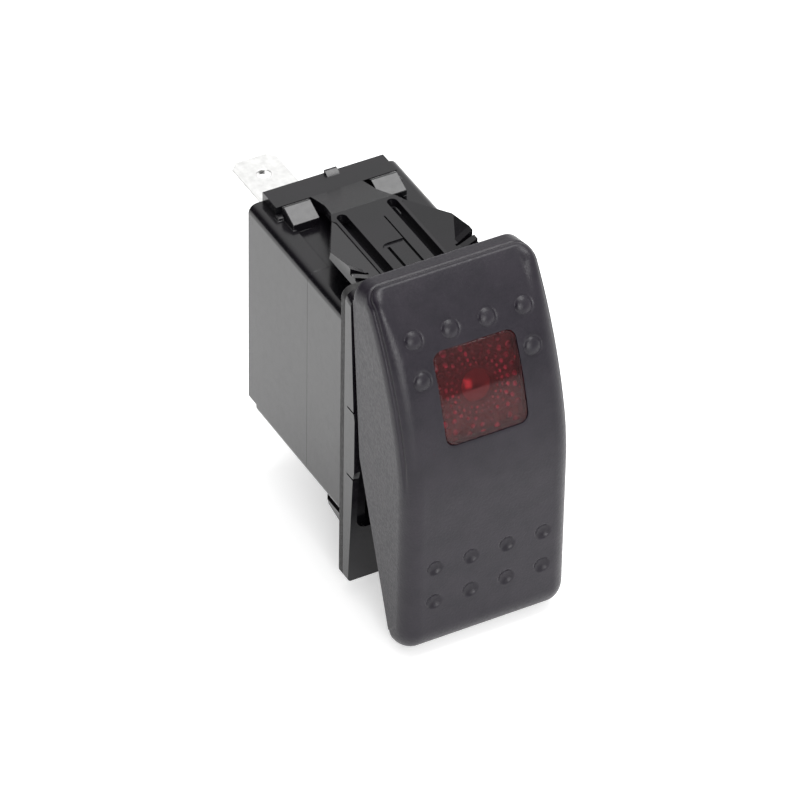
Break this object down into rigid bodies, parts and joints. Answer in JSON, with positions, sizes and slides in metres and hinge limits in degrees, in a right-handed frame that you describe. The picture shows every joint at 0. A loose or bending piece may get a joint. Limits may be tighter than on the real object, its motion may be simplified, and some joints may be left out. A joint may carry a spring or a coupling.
{
  "type": "panel rocker switch",
  "caption": "Snap-in panel rocker switch with an arched rocker, red lamp lens, sprung side wings and push-on tab terminals.",
  "frame": {"origin": "centre of the body in the front face of the panel", "axes": "+Y points behind the panel, +Z is the top of the switch where the lens is, X runs across it"},
  "size_m": [0.0232, 0.0532, 0.0496],
  "materials": {
    "body_plastic": "moulded, smooth",
    "bracket_plastic": "moulded, smooth",
    "gasket_rubber": "die cut, dull",
    "rocker_plastic": "moulded, fine grain",
    "red_lens": "moulded, clear red",
    "lever_plastic": "moulded, plain",
    "spring_steel": "drawn wire",
    "contact_brass": "stamped",
    "contact_silver": "headed rivet",
    "tinned_brass": "stamped, tin plated",
    "board_laminate": "laminate",
    "led_epoxy": "cast, clear red",
    "resistor_body": "dipped"
  },
  "bodies": {
    "housing": {"base_housing": "body_plastic", "mounting_bracket": "bracket_plastic", "panel_gasket": "gasket_rubber", "base_seal": "gasket_rubber", "load_contact": "contact_silver", "line_terminal": "tinned_brass", "load_terminal": "tinned_brass", "lamp_terminal": "tinned_brass", "lamp_feed_strip": "contact_brass", "lamp_feed_spring": "spring_steel", "lamp_return_spring": "spring_steel", "lamp_board": "board_laminate", "lamp_led": "led_epoxy", "lamp_resistor": "resistor_body"},
    "rocker": {"rocker_cap": "rocker_plastic", "rocker_lens": "red_lens", "rocker_lever": "lever_plastic", "plunger_spring": "spring_steel"},
    "plunger": {"plunger": "lever_plastic"},
    "blade": {"contact_blade": "contact_brass", "moving_contact": "contact_silver"}
  },
  "joints": [
    {"name": "rocker_tilt", "type": "hinge", "parent": "housing", "child": "rocker", "pos_m": [0, -0.00805, -0.0007], "axis": [1, 0, 0], "range_deg": [0, 25.2]},
    {"name": "blade_rock", "type": "hinge", "parent": "housing", "child": "blade", "pos_m": [0.0049, 0.0189, -0.0007], "axis": [1, 0, 0], "range_deg": [-10, 0]},
    {"name": "plunger_slide", "type": "slide", "parent": "rocker", "child": "plunger", "axis": [0, 0.9759, -0.2181], "range_m": [-0.0012, 0], "stiffness_N_per_m": 400, "springref_m": 0.004, "deforming": ["plunger_spring"]}
  ],
  "couplings": [
    {"joint": "blade_rock", "follows": "rocker_tilt", "ratio": -0.3968}
  ]
}
